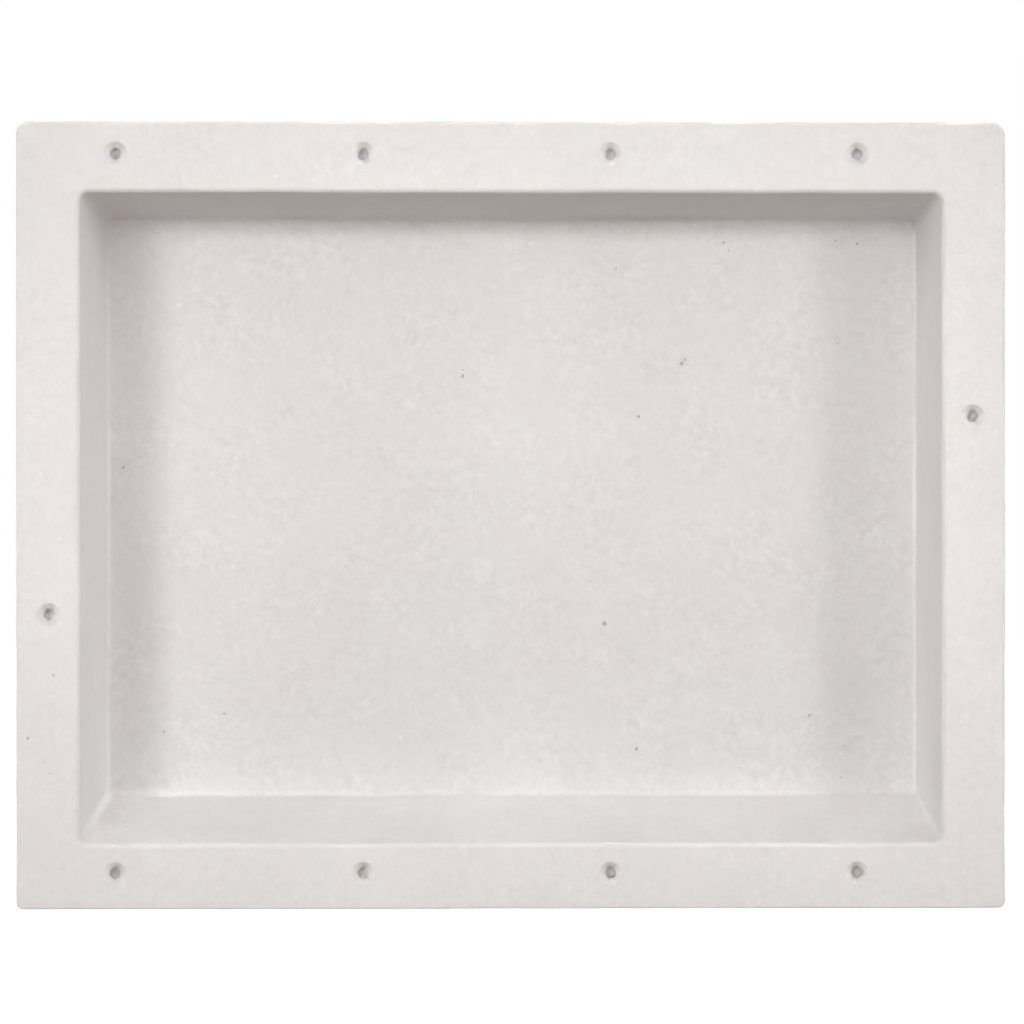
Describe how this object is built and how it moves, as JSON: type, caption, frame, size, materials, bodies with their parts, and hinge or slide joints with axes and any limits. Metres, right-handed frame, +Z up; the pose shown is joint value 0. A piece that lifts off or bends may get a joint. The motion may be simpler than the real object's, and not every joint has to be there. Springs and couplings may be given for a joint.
{
  "type": "shower niche insert",
  "caption": "Moulded wall recess for a tiled shower: a flat flange with countersunk screw holes round a shallow open box whose lower wall slopes forward as a shelf that drains.",
  "frame": {"origin": "centre of the flange's rear face, in the plane of the wall studs", "axes": "+X to the right seen from the shower, +Y into the wall, +Z up; the recess opens towards -Y"},
  "size_m": [0.508, 0.1016, 0.404],
  "materials": {
    "moulded_polyurethane": "matt pale grey moulding skin with faint mottling"
  },
  "bodies": {
    "root": {"niche_shell": "moulded_polyurethane"}
  },
  "joints": []
}
